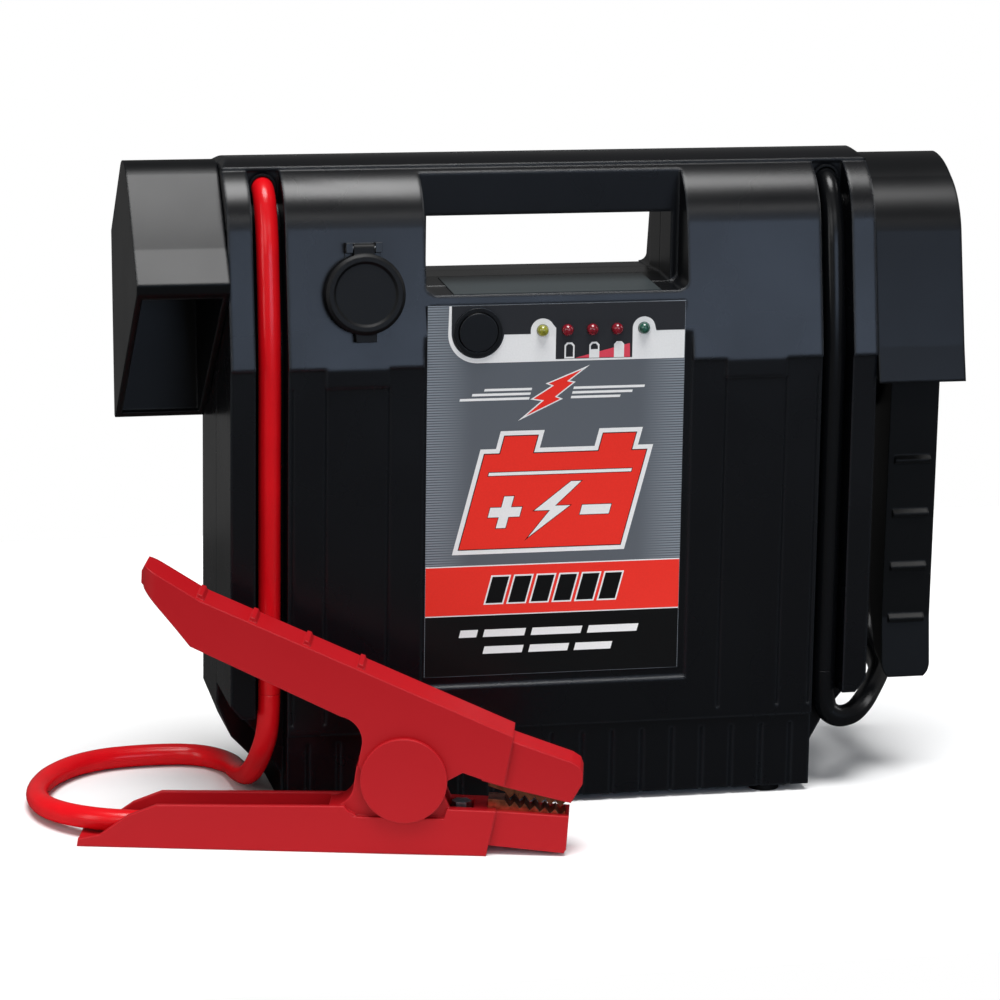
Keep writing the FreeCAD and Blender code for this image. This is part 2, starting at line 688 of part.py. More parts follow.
finish(ring("button_ring_cut", plain(size("button_radius")) + 2.2, plain(size("button_radius")) + 0.45, 1.3,
            ring_base, FACE_FRONT), "button_ring")


def light(name, x):
    """An indicator lamp: a round body through the panel with a domed end, and a collar behind it."""
    radius = size("light_radius")
    body = rod(name + "_body", radius, 6.5, Vector(x, BOARD_FRONT - 3.5, control_z), FACE_FRONT)
    dome = doc.addObject("Part::Sphere", name + "_dome")
    bind(dome, "Radius", radius)
    dome.Placement = Placement(Vector(x, BOARD_FRONT - 10, control_z), Rotation())
    return joined(name, [body, dome])


finish(light("charging_lamp", LIGHT_XS[0]), "charging_light")
power_lamps = [light(f"power_lamp_{n}", x) for n, x in enumerate(LIGHT_XS[1:4])]
finish(group("power_lamp_group", power_lamps), "power_level_lights")
finish(light("full_lamp", LIGHT_XS[4]), "charge_complete_light")

sill_drop = (size("opening_low").number - size("rim_low").number) / 60
warning = block("warning_sheet", 0, 0, 0.02, 94, 36, 0.3)
finish(warning, "warning_label",
       Placement(Vector(-47, -38, size("opening_low").number - 38 * sill_drop),
                 Rotation(Vector(1, 0, 0), math.degrees(math.atan(sill_drop)))))

# ---------------------------------------------------------------- accessory socket and its cap

SOCKET = Placement(Vector(-plain(size("socket_x")), -socket_depth, plain(size("socket_height"))),
                   Rotation(Vector(1, 0, 0), 90 - math.degrees(LEAN)))
HINGE_Y = 20.2
flange = rod("flange_disc", size("socket_cap_radius") - 0.4, 2, Vector(0, 0, 0.02))
ears = [block("hinge_foot", -8, 14, 0.02, 16, 8.6, 0.7)]
ears += [block(f"hinge_ear_{side}", side * 6.5 - 1.5, 18.2, 0.02, 3, 4.4, 4.8) for side in (-1, 1)]
flange_bore = rod("flange_bore", 14.1, 10, Vector(0, 0, -3))
pin_hole = rod("cap_pin_hole", 1, 30, Vector(-15, HINGE_Y, 3), Rotation(Vector(0, 1, 0), 90))
finish(minus("socket_flange_cut", joined("socket_flange_fuse", [flange] + ears),
             group("flange_holes", [flange_bore, pin_hole])), "socket_flange", SOCKET)
barrel = rod("barrel_outside", 14, 42, Vector(0, 0, -40))
finish(minus("socket_barrel_cut", barrel, rod("barrel_inside", size("socket_bore"), 40, Vector(0, 0, -37))),
       "socket_barrel", SOCKET)
finish(rod("socket_centre", 3.2, 5, Vector(0, 0, -36.9)), "socket_contact", SOCKET)
hinge_rod = rod("cap_hinge_rod", 1, 15.8, Vector(-7.9, HINGE_Y, 3), Rotation(Vector(0, 1, 0), 90))
finish(hinge_rod, "cap_hinge_pin", SOCKET)
cap = new_body("socket_cap_body")
CAP_LOW = 2.4
cap_radius = size("socket_cap_radius")
dish = sketch_on(cap, "cap_profile", "XZ_Plane")
draw_outline(dish, [(0, CAP_LOW - 4), (9.6, CAP_LOW - 4), (9.6, CAP_LOW), (cap_radius, CAP_LOW),
                    (cap_radius, CAP_LOW + 3.4), (cap_radius - 1.4, CAP_LOW + 4.4),
                    (cap_radius - 3.4, CAP_LOW + 4.4), (cap_radius - 4.4, CAP_LOW + 3.4),
                    (0, CAP_LOW + 3.4)])
turned = cap.newObject("PartDesign::Revolution", "cap_turned")
turned.Profile = dish
turned.ReferenceAxis = (dish, ["V_Axis"])
turned.Angle = 360
KNUCKLE = 4.6
tabs = sketch_on(cap, "cap_tabs", "XY_Plane", Vector(0, 0, CAP_LOW))
draw_outline(tabs, [(-KNUCKLE, 12), (KNUCKLE, 12), (KNUCKLE, HINGE_Y), (-KNUCKLE, HINGE_Y)])
draw_outline(tabs, [(-5.2, -12), (-4.4, -21), (4.4, -21), (5.2, -12)])
add_pad(cap, tabs, 2.6)
eye = sketch_on(cap, "cap_eye", "YZ_Plane")
draw_circle(eye, HINGE_Y, 3, 2.0)
add_pad(cap, eye, KNUCKLE * 2, midplane=True)
eye_hole = sketch_on(cap, "cap_eye_hole", "YZ_Plane")
draw_circle(eye_hole, HINGE_Y, 3, 1.05)
add_pocket(cap, eye_hole, 30, midplane=True)
finish(cap, "socket_cap", SOCKET)

inlet = ring("inlet_ring", 7.9, 3.2, 12, Vector(INLET_X, 30, INLET_Z), FACE_BACK)
inlet_face = ring("inlet_face", 10, 3.2, 1.4, Vector(INLET_X, 43, INLET_Z), FACE_BACK)
inlet_tip = rod("inlet_tip", 1.1, 10, Vector(INLET_X, 31.5, INLET_Z), FACE_BACK)
inlet_back = rod("inlet_back", 7.9, 2, Vector(INLET_X, 29.5, INLET_Z), FACE_BACK)
inlet_sleeve = ring("inlet_sleeve", 7.9, 3.2, 2.5, Vector(INLET_X, 41, INLET_Z), FACE_BACK)
finish(joined("inlet_fuse", [inlet, inlet_face, inlet_tip, inlet_back, inlet_sleeve]), "charging_inlet")

# ---------------------------------------------------------------- clamps, in their own frame

# Clamp frame: X along the clamp from the handles to the jaws, Z up from the lower handle's flat bottom.
PIVOT = Vector(116.8, 0, 33.6)
HANDLE_SLOPE = 24.0
TOP_LINE = ((28.3, 111.5), (164.1, 54.0))
RIB_XS = [28.3, 51.1, 74.4, 97.8]
NOSE_HALF = 9.0


def top_z(x, drop=0.0):
    """Height of the upper handle's straight top edge at x."""
    (x0, z0), (x1, z1) = TOP_LINE
    return z0 + (z1 - z0) * (x - x0) / (x1 - x0) - drop


def clamp_body(name):
    return new_body(name)


def clamp_pad(body, name, points, width):
    sketch = draw_outline(sketch_on(body, name, "XZ_Plane"), points)
    add_pad(body, sketch, width, midplane=True)


def clamp_cut(body, name, points, width):
    sketch = draw_outline(sketch_on(body, name, "XZ_Plane"), points)
    add_pocket(body, sketch, width, midplane=True)


def pin_bore(body, name):
    hole = draw_circle(sketch_on(body, name, "XZ_Plane"), PIVOT.x, PIVOT.z, size("pin_radius") + 0.05)
    add_pocket(body, hole, 60, midplane=True)


TEETH = 6
TOOTH_PITCH = 4.4
TOOTH_START = 160.4


def tooth_row(base_z, slope, height):
    """A zigzag of teeth from the pivot side to the nose, as points of a loop."""
    points = []
    for n in range(TEETH):
        x = TOOTH_START + n * TOOTH_PITCH
        points.append((x, base_z + slope * n * TOOTH_PITCH))
        points.append((x + TOOTH_PITCH / 2, base_z + slope * (n + 0.5) * TOOTH_PITCH + height))
    x_end = TOOTH_START + TEETH * TOOTH_PITCH
    points.append((x_end, base_z + slope * TEETH * TOOTH_PITCH))
    return points


def upper_handle(name):
    """The longer insulated half: a channel open downward, its cheeks outside the lower half's."""
    body = clamp_body(name + "_upper_handle")
    width = size("clamp_width")
    inner = size("clamp_width") - size("clamp_wall") * 2
    clamp_pad(body, name + "_upper_outline", [
        (2.2, 117.5), (2.4, 122.8), (4.2, 126), TOP_LINE[0], TOP_LINE[1], (160.2, 31.5), (142.3, 37.4),
        (132.8, 32), (100.8, 32, (PIVOT.x, PIVOT.z - 16)), (96.8, 39.9), (98.5, 49.5),
        (89.4, 61.4, (96.2, 57.2)), (23.9, 91.2), (17, 99.8)], width)
    clamp_cut(body, name + "_upper_channel", [
        (4, 100), (10.5, 113), (16, 112.5), (28.3, top_z(28.3, 3.4)), (148, top_z(148, 3.4)), (150, 40),
        (150, 5), (60, 5), (4, 80)], inner)
    for index, x in enumerate(RIB_XS):
        z = top_z(x)
        clamp_pad(body, f"{name}_rib_{index}", [
            (x - 2.2, z + 0.2), (x - 1.2, z + 2.4), (x + 0.6, z + 1.8), (x + 2.2, z - 2.2),
            (x, z - 2.5)], 17)
    clamp_pad(body, name + "_upper_nose", [
        (150.5, 56.2), (165, 50.8), (189.8, 42.4), (193.2, 40.2), (194.3, 37.2), (194.3, 33),
        (189.3, 24.2), (159, 31), (150.5, 33.4)], NOSE_HALF * 2)
    clamp_cut(body, name + "_upper_slot", [(153, 42), (153, 20), (187.8, 15), (187.8, 34)], 10.6)
    corners = sketch_on(body, name + "_tip_corners", "XY_Plane", Vector(0, 0, 140))
    for side in (-1, 1):
        draw_outline(corners, [(9.7, side * 12.5), (-1, side * 12.5), (-1, side * 5), (3.2, side * 5),
                               (9.7, side * 11.5, (5.1, side * 9.6))])
    add_pocket(body, corners, 60)
    pin_bore(body, name + "_upper_bore")
    return body


def lower_handle(name):
    """The half that holds the cable: a channel open upward, narrower between the upper cheeks."""
    body = clamp_body(name + "_lower_handle")
    width = size("clamp_width")
    inner = size("clamp_width") - size("clamp_wall") * 2
    neck = plain(inner) - 0.6
    clamp_pad(body, name + "_lower_outline", [
        (-25.9, 0), (-25.4, 3.2), (-16, 5.2), (-3.7, 14.2), (8.9, 19.4), (90.8, 21), (94.5, 16.3),
        (134.4, 16.3), (135.6, 20.6), (156.9, 20.2), (152.8, 0)], width)
    clamp_cut(body, name + "_lower_channel", [(-30, 2.5), (94.5, 2.5), (94.5, 40), (-30, 40)], inner)
    clamp_pad(body, name + "_lower_neck", [
        (84, 3), (84, 20), (94.9, 30.5, (92, 23.4)), (96, 38.4), (103.4, 38.4),
        (130.2, 36, (PIVOT.x, PIVOT.z + 13.6)), (137, 20), (142, 3)], neck)
    clamp_pad(body, name + "_lower_web", [(84, 2), (84, 20), (90, 20), (96, 17), (96, 2)], width - 1)
    clamp_cut(body, name + "_lower_throat", [
        (80, 2.5), (147, 2.5), (147, 60), (99, 60), (99, 15), (80, 15)], neck - 4.8)
    clamp_pad(body, name + "_lower_nose", [
        (147, 4.4), (154.5, 4.1), (186.5, 1.3), (187.6, 3), (188.6, 18), (156, 19.6), (147, 19.8)],
        NOSE_HALF * 2)
    clamp_cut(body, name + "_lower_slot", [(153, 11), (187, 8.5), (187, 26), (153, 26)], 10.6)
    pin_bore(body, name + "_lower_bore")
    return body


def upper_jaw(name):
    body = clamp_body(name + "_upper_jaw")
    teeth = tooth_row(27.6, -0.16, -2.6)
    clamp_pad(body, name + "_upper_jaw_outline", [(153.2, 41.8), (153.2, 30)] + teeth + [
        (187.6, 24), (187.6, 33.9)], 10.4)
    return body


def lower_jaw(name):
    body = clamp_body(name + "_lower_jaw")
    teeth = tooth_row(23.6, -0.16, -2.6)
    clamp_pad(body, name + "_lower_jaw_outline", [
        (153.2, 11.2), (153.2, 24)] + teeth + [(186.8, 19.4), (186.8, 8.8)], 10.4)
    clamp_cut(body, name + "_lower_jaw_hollow", [(158, 14), (182, 12), (182, 15), (158, 17)], 6)
    return body


SPRING_WIRE = 1.0
SPRING_RADIUS = 5.4
SPRING_PITCH = 2.15
SPRING_TURNS = 4


def clamp_spring(name):
    """A torsion spring round the pivot pin, with one leg along each handle."""
    span = SPRING_PITCH * SPRING_TURNS
    helix = Part.makeHelix(SPRING_PITCH, span, SPRING_RADIUS)
    circle = Part.Wire([Part.makeCircle(SPRING_WIRE, Vector(SPRING_RADIUS, 0, 0), Vector(0, 1, 0))])
    coil = Part.Wire(helix.Edges).makePipeShell([circle], True, True)
    start = Vector(SPRING_RADIUS, 0, 0)
    end = Vector(SPRING_RADIUS, 0, span)
    legs = [Part.makeCylinder(SPRING_WIRE, 15, start, Vector(0, -1, 0)),
            Part.makeCylinder(SPRING_WIRE, 15, end, Vector(-0.28, 1, 0))]
    whole = coil.fuse(legs + [Part.makeSphere(SPRING_WIRE, start), Part.makeSphere(SPRING_WIRE, end)])
    to_pivot = Placement(PIVOT + Vector(0, span / 2, 0), Rotation(Vector(1, 0, 0), 90))
    spin = Placement(Vector(), Rotation(Vector(0, 0, 1), -96))
    item = doc.addObject("Part::Feature", name + "_spring")
    item.Shape = whole
    item.Placement = to_pivot.multiply(spin)
    return item


CROSSWISE = Rotation(Vector(1, 0, 0), 90)


def make_clamp(name, lower_place, upper_place):
    """All the pieces of one clamp: those of the lower half, then those of the upper half."""
    half = plain(size("clamp_width")) / 2
    finish(lower_handle(name), f"{name}_lower_handle", lower_place)
    finish(lower_jaw(name), f"{name}_lower_jaw", lower_place)
    pin = rod(name + "_pin", size("pin_radius"), half * 2, Vector(PIVOT.x, half, PIVOT.z), CROSSWISE)
    finish(group(name + "_pin_group", [pin]), f"{name}_pivot_pin", lower_place)
    finish(clamp_spring(name), f"{name}_spring", lower_place)
    finish(upper_handle(name), f"{name}_upper_handle", upper_place)
    finish(upper_jaw(name), f"{name}_upper_jaw", upper_place)
    caps = []
    for side in (-1, 1):
        base = Vector(PIVOT.x, side * (half + 0.02), PIVOT.z)
        turn = CROSSWISE if side < 0 else Rotation(Vector(1, 0, 0), -90)
        caps.append(rod(f"{name}_cap_{len(caps)}", size("cap_radius"), size("cap_thickness"), base, turn))
    finish(group(name + "_cap_group", caps), f"{name}_pivot_caps", upper_place)
    core = add_core(name)
    finish(core, f"{name}_cable_end", lower_place)
    bolt = rod(name + "_bolt", 1.9, 12, Vector(141.5, 0, 6.4))
    nut = doc.addObject("Part::Prism", name + "_nut")
    nut.Polygon = 6
    nut.Circumradius = 4.4
    nut.Height = 3.6
    nut.Placement = Placement(Vector(141.5, 0, 18), Rotation())
    finish(joined(name + "_bolt_fuse", [bolt, nut]), f"{name}_cable_bolt", lower_place)


def add_core(name):
    """The cable's last stretch inside the lower handle, ending in a flat crimped lug."""
    jacket = rod(name + "_jacket", size("cable_diameter") / 2, 78, Vector(CORE_START, 0, 8.2),
                 Rotation(Vector(0, 1, 0), 90))
    crimp = rod(name + "_crimp", 3.6, 28, Vector(CORE_START + 78, 0, 8.2), Rotation(Vector(0, 1, 0), 90))
    lug = block(name + "_lug", CORE_START + 100, -5.5, 6.4, 20, 11, 2.4)
    whole = joined(name + "_core", [jacket, crimp, lug])
    hole = rod(name + "_core_hole", 1.92, 20, Vector(141.5, 0, 0))
    return minus(name + "_core_cut", whole, hole)


CORE_START = 26.7

# The red clamp stands on its lower handle in front of the case's left corner.
CLAMP_YAW = -14.3
red_place = Placement(Vector(-190.9, -64.5, 0), Rotation(Vector(0, 0, 1), CLAMP_YAW))
make_clamp("red_clamp", red_place, red_place)

# The black clamp hangs in the right holster, jaws up, its upper handle's outer face upright.
BLACK_PIVOT = Vector(172.5, 14.8, 187.3)
PARKED_OPENING = 20


def hanging(tilt):
    """The clamp frame with X turned up by a tilt off the vertical, placed so that its pivot is held."""
    lean = math.radians(tilt)
    along = Vector(0, -math.sin(lean), math.cos(lean))
    upward = Vector(0, -math.cos(lean), -math.sin(lean))
    turn = Rotation(along, upward.cross(along), upward, "XYZ")
    return Placement(BLACK_PIVOT - turn.multVec(PIVOT), turn)


make_clamp("black_clamp", hanging(HANDLE_SLOPE - PARKED_OPENING), hanging(HANDLE_SLOPE))

# ---------------------------------------------------------------- holster screws

holster_screws = []
for side in (-1, 1):
    for y, z in ((-8, 262 if side < 0 else 250), (16, 262 if side < 0 else 250)):
        inner = plain(size("case_half_width")) + plain(size("hood_gap")) + plain(size("hood_wall"))
        holster_screws.append(rod(f"holster_screw_{len(holster_screws)}", size("screw_head_radius"), 1.6,
                                  Vector(side * (inner + 0.02), y, z), Rotation(Vector(0, 1, 0), side * 90)))
finish(group("holster_screw_group", holster_screws), "holster_screws")

# ---------------------------------------------------------------- check and write

doc.recompute()
for item in doc.Objects:
    if "Invalid" in item.State or "Error" in item.State:
        raise RuntimeError(f"{item.Label} failed: {item.State}")
for item in finished:
    if item.Shape.isNull() or not item.Shape.isValid():
        raise RuntimeError(f"{item.Label} has no valid shape")

os.makedirs("parts", exist_ok=True)
for item in finished:
    item.Shape.exportStep(f"parts/{item.Label}.step")
print(len(finished), "sub-parts written")
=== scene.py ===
# %% [markdown]
# # A portable jump starter pack
# The pack is a moulded black case with a sealed battery in it. Two thick cables leave the top of
# the case, run down channels in its front corners and end in sprung clamps. The solid parts come
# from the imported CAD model, which is the fixed frame here. Blender adds the flexible cables, the
# printed label and what every surface is made of.

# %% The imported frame
import math

import bpy
import numpy as np
from mathutils import Matrix, Vector


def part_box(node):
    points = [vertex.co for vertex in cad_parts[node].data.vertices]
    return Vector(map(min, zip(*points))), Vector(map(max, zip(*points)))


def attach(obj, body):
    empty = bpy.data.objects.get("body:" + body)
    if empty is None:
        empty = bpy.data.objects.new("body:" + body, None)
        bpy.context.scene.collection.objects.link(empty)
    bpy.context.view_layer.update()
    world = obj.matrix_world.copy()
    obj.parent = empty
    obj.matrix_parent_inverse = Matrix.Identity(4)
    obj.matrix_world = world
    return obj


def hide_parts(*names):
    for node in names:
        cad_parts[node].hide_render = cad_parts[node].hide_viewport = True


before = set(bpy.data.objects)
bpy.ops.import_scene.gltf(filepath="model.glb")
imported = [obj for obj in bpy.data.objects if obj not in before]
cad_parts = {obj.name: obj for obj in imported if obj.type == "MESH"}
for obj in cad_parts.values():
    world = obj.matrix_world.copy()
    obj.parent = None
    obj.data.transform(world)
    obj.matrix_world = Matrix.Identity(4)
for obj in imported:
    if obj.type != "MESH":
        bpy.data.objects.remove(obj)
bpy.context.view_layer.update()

MM = 0.001

# %% [markdown]
# ## The camera
# A small object looks natural from about two metres with a long lens, which keeps its upright
# edges nearly parallel. The camera's axes are worked out from an azimuth, an elevation and a
# slight roll, and then written as a matrix, so that there is no tracking constraint to undo.

# %% The camera
AZIMUTH, ELEVATION, ROLL = (math.radians(v) for v in (-12.484, 12.902, 0.849))
DISTANCE = 1.8331
SLIDE_RIGHT, SLIDE_UP = -0.01639, -0.01304
LENS_MM = 144.64

backward = Vector((math.sin(AZIMUTH) * math.cos(ELEVATION), -math.cos(AZIMUTH) * math.cos(ELEVATION),
                   math.sin(ELEVATION)))
level = Vector((math.cos(AZIMUTH), math.sin(AZIMUTH), 0))
upright = backward.cross(level)
right = level * math.cos(ROLL) + upright * math.sin(ROLL)
upward = upright * math.cos(ROLL) - level * math.sin(ROLL)
spot = Vector((0, 0, 0.145)) + backward * DISTANCE + right * SLIDE_RIGHT + upward * SLIDE_UP
camera_data = bpy.data.cameras.new("camera")
camera_data.lens = LENS_MM
camera_data.clip_end = 50
camera = bpy.data.objects.new("camera", camera_data)
axes = Matrix((right, upward, backward)).transposed().to_4x4()
camera.matrix_world = Matrix.Translation(spot) @ axes
bpy.context.scene.collection.objects.link(camera)
bpy.context.scene.camera = camera
bpy.context.scene.view_settings.view_transform = "Standard"
print("camera at", [round(v, 3) for v in spot])

# %% [markdown]
# ## The free cables
# Welding cable of this size is a thick bundle of fine copper in soft PVC, about 10 mm across. It
# bends in wide curves and keeps some of its spring. A NURBS curve gives such a line: its control
# points are the corners of the route, and the curve rounds them by itself. The bevel gives the
# line its jacket. The red cable lies on the floor and the black one hangs to its parked clamp.

# %% The routes, in millimetres
CABLE_MM = 10
RED_ROUTE = [(-128.7, -36, 56), (-128.7, -36, 40), (-132.6, -34.5, 26), (-135, -20, 13.5), (-135.5, 6, 7),
             (-137, 30, 5.1), (-150, 45, 5.1), (-174, 47.5, 5.1), (-199, 43, 5.1), (-219, 25, 5.1),
             (-230, -1, 5.1), (-230, -27, 6.2), (-221, -47.5, 8), (-206, -59.5, 8.3),
             (-186.06, -65.73, 8.2), (-165.03, -71.1, 8.2)]
BLACK_ROUTE = [(128.7, -36, 56), (128.7, -36, 38.7), (134.7, -36.6, 32.7), (143.5, -34.8, 33.2),
               (151, -28, 37), (160, -13, 40.5), (168.5, 3, 43), (172.2, 19, 43.5), (172.6, 34, 46),
               (172.6, 44.5, 52.5), (172.5, 48.87, 64.15), (172.5, 46.42, 99.19)]


def cable_curve(name, route):
    """A NURBS curve of order 3 from the first point to the last, pulled towards those between.
    Its thickness is the bevel of 1 m times each point's radius."""
    curve = bpy.data.curves.new(name, "CURVE")
    curve.dimensions = "3D"
    spline = curve.splines.new("NURBS")
    spline.points.add(len(route) - 1)
    places = np.ones((len(route), 4))
    places[:, :3] = np.array(route) * MM
    spline.points.foreach_set("co", places.ravel())
    spline.points.foreach_set("radius", np.full(len(route), CABLE_MM / 2 * MM))
    spline.order_u = 3
    spline.use_endpoint_u = True
    curve.resolution_u = 14
    curve.bevel_depth = 1.0
    curve.bevel_resolution = 9
    curve.use_fill_caps = True
    item = bpy.data.objects.new(name, curve)
    bpy.context.scene.collection.objects.link(item)
    return item


CORDS = {"red": (RED_ROUTE, 0.331, "loose"), "black": (BLACK_ROUTE, 0.172, "hanging")}
cables = {}
for colour, (route, length, lay) in CORDS.items():
    item = cable_curve(f"{colour}_cable", route)
    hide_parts(f"{colour}_free_cable")
    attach(item, "pack")
    cables[colour] = item
    print(colour, "cable with", len(route), "control points")

# %% [markdown]
# ## Colours and nodes
# Paint and plastic colours are read off swatches as sRGB hex values, while the renderer works in
# linear light, so one function turns one into the other. A second function adds a node, sets
# it and links it, which keeps each material below to a few readable lines.

# %% Colour and node helpers
def linear(hex_colour):
    """sRGB to linear: c/12.92 below 0.04045, and ((c + 0.055)/1.055)^2.4 above it."""
    parts = np.array([int(hex_colour[k:k + 2], 16) for k in (1, 3, 5)]) / 255
    low, high = parts / 12.92, ((parts + 0.055) / 1.055) ** 2.4
    return (*np.where(parts <= 0.04045, low, high).tolist(), 1.0)


def add(tree, kind, settings=(), links=()):
    """Adds a node. settings and links are pairs: a property or socket, and its value or its source."""
    node = tree.nodes.new("ShaderNode" + kind)
    for key, value in dict(settings).items():
        if isinstance(key, str) and key.islower():
            setattr(node, key, value)
        else:
            node.inputs[key].default_value = value
    for key, source in dict(links).items():
        tree.links.new(source, node.inputs[key])
    return node


print("a mid grey in linear light:", [round(v, 3) for v in linear("#808080")[:3]])

# %% Starting and ending a material
materials = {}


def begin(name):
    """A new material: its node tree, and the position on the object, in metres."""
    material = bpy.data.materials.new(name)
    material.use_nodes = True
    tree = material.node_tree
    tree.nodes.clear()
    materials[name] = material
    return tree, add(tree, "TexCoord").outputs["Object"]


def close(tree, settings, links=()):
    """Ends a material with the surface shader and the output."""
    shader = add(tree, "BsdfPrincipled", settings, links)
    add(tree, "OutputMaterial", links={"Surface": shader.outputs["BSDF"]})


def per_metre(size_mm):
    """The scale of a texture whose features are that many millimetres across."""
    return 1 / (size_mm * MM)


print("a grain of 0.35 mm needs a texture scale of", round(per_metre(0.35)))

# %% [markdown]
# ## Moulded plastic
# The case, the holsters and the clamp handles are ABS from a steel mould that was spark-eroded to
# a fine grain. The grain spreads the highlight and hides fingerprints, and a moulded edge is never
# sharp: it has a radius of half a millimetre or more, which catches a line of light. The grain is
# noise with features of about 0.35 mm, and the radius is the Bevel node, which rounds the shading
# of an edge without touching the mesh. The same node finds the edges: where the rounded direction
# leaves the true one, the base colour is paler, which is a painted highlight along every edge.

# %% Moulded plastic
def moulded(name, colour, edge_highlight, roughness, specular, radius_mm=0.8, grain_mm=0.35, grain_depth_mm=0.012,
            flow_mm=45):
    """Grained plastic: base colour mixed towards a paler painted highlight colour along edges, and
    roughness varied by a slow noise.
    """
    tree, place = begin(name)
    rounded = add(tree, "Bevel", {"samples": 6, "Radius": radius_mm * MM})
    true_way = add(tree, "NewGeometry").outputs["Normal"]
    alike = add(tree, "VectorMath", {"operation": "DOT_PRODUCT"}, {0: rounded.outputs[0], 1: true_way})
    edge = add(tree, "MapRange", {"From Min": 1.0, "From Max": 0.72}, {"Value": alike.outputs["Value"]})
    flow = add(tree, "TexNoise", {"Scale": per_metre(flow_mm), "Detail": 3.0}, {"Vector": place})
    grain = add(tree, "TexNoise", {"Scale": per_metre(grain_mm), "Detail": 1.0}, {"Vector": place})
    # painted highlight: the edge mask turns the base colour towards the paler second colour along every
    # edge
    shade = add(tree, "Mix", {"data_type": "RGBA", 6: linear(colour), 7: linear(edge_highlight)},
                {0: edge.outputs["Result"]})
    gloss = add(tree, "MapRange", {"To Min": roughness - 0.05, "To Max": roughness + 0.06},
                {"Value": flow.outputs["Fac"]})
    bump = add(tree, "Bump", {"Strength": 0.5, "Distance": grain_depth_mm * MM},
               {"Height": grain.outputs["Fac"], "Normal": rounded.outputs[0]})
    close(tree, {"Specular IOR Level": specular},
          {"Base Color": shade.outputs[2], "Roughness": gloss.outputs["Result"],
           "Normal": bump.outputs["Normal"]})
    print("moulded plastic:", name)


# the second colour of each material is the painted highlight colour along its edges
moulded("black_ABS_case", "#050609", "#1d2126", 0.27, 0.40, radius_mm=2.2)
moulded("black_ABS_holster", "#050608", "#14171a", 0.32, 0.26, radius_mm=1.6)
moulded("red_nylon_handle", "#ad0f18", "#c4222a", 0.45, 0.22, radius_mm=1.2, grain_mm=0.5)
moulded("black_nylon_handle", "#060708", "#171a1c", 0.42, 0.24, radius_mm=1.2, grain_mm=0.5)
moulded("black_ABS_fitting", "#08090b", "#1d2024", 0.28, 0.4, radius_mm=0.4)
moulded("black_ABS_button", "#0a0c0f", "#181b1f", 0.32, 0.4, radius_mm=0.6, grain_mm=0.25)
moulded("grey_ABS_battery", "#4a4c50", "#6a6c70", 0.5, 0.4, radius_mm=1.0)
moulded("black_ABS_battery_lid", "#232427", "#3c3d40", 0.5, 0.4, radius_mm=1.0)

# %% [markdown]
# ## Rubber, foam and cable jacket
# Rubber is soft, so it shows no grain but scatters light broadly. The PVC jacket of the cables is
# extruded through a polished die: it is the glossiest plastic here, with faint long ripples left
# by the copper strands under it.

# %% Rubber, foam and cable jacket
def rubbery(name, colour, roughness, specular, speck_mm, speck_depth_mm):
    """A soft surface: one colour varied a little, with fine specks for its bump."""
    tree, place = begin(name)
    rounded = add(tree, "Bevel", {"samples": 4, "Radius": 0.7 * MM})
    speck = add(tree, "TexNoise", {"Scale": per_metre(speck_mm), "Detail": 2.0}, {"Vector": place})
    cloud = add(tree, "TexNoise", {"Scale": per_metre(18), "Detail": 2.0}, {"Vector": place})
    tone = add(tree, "MapRange", {"To Min": 0.85, "To Max": 1.15}, {"Value": cloud.outputs["Fac"]})
    shade = add(tree, "HueSaturation", {"Color": linear(colour)}, {"Value": tone.outputs["Result"]})
    bump = add(tree, "Bump", {"Strength": 0.6, "Distance": speck_depth_mm * MM},
               {"Height": speck.outputs["Fac"], "Normal": rounded.outputs[0]})
    close(tree, {"Roughness": roughness, "Specular IOR Level": specular},
          {"Base Color": shade.outputs["Color"], "Normal": bump.outputs["Normal"]})
    print("soft surface:", name)


rubbery("soft_black_rubber", "#08090b", 0.48, 0.22, 0.4, 0.01)
rubbery("closed_cell_foam", "#26272a", 0.9, 0.1, 0.8, 0.15)
rubbery("red_PVC_jacket", "#d50d17", 0.24, 0.35, 2.5, 0.02)
rubbery("black_PVC_jacket", "#08090b", 0.26, 0.3, 2.5, 0.02)

# %% [markdown]
# ## Metal
# The jaws are copper-plated steel: an orange-pink metal that browns in the air in soft patches.
# Bolts are zinc plated, pins and springs are drawn steel, and the battery's posts are cast lead.
# A metal's colour is its mirror colour, so it is metallic 1 with a roughness from its finish.

# %% Metal
def metal(name, colour, tarnish, roughness, patch_mm, scratch_mm):
    """A bare metal: two colours mixed by soft patches, and a roughness varied by stretched noise."""
    tree, place = begin(name)
    rounded = add(tree, "Bevel", {"samples": 4, "Radius": 0.25 * MM})
    patch = add(tree, "TexNoise", {"Scale": per_metre(patch_mm), "Detail": 4.0}, {"Vector": place})
    drawn = add(tree, "Mapping", {"Scale": (1.0, 1.0, 0.15)}, {"Vector": place})
    scratch = add(tree, "TexNoise", {"Scale": per_metre(scratch_mm), "Detail": 2.0},
                  {"Vector": drawn.outputs["Vector"]})
    blend = add(tree, "MapRange", {"From Min": 0.42, "From Max": 0.68}, {"Value": patch.outputs["Fac"]})
    shade = add(tree, "Mix", {"data_type": "RGBA", 6: linear(colour), 7: linear(tarnish)},
                {0: blend.outputs["Result"]})
    gloss = add(tree, "MapRange", {"To Min": roughness - 0.08, "To Max": roughness + 0.1},
                {"Value": scratch.outputs["Fac"]})
    bump = add(tree, "Bump", {"Strength": 0.3, "Distance": 0.01 * MM},
               {"Height": scratch.outputs["Fac"], "Normal": rounded.outputs[0]})
    close(tree, {"Metallic": 1.0}, {"Base Color": shade.outputs[2], "Roughness": gloss.outputs["Result"],
                                    "Normal": bump.outputs["Normal"]})
    print("metal:", name)


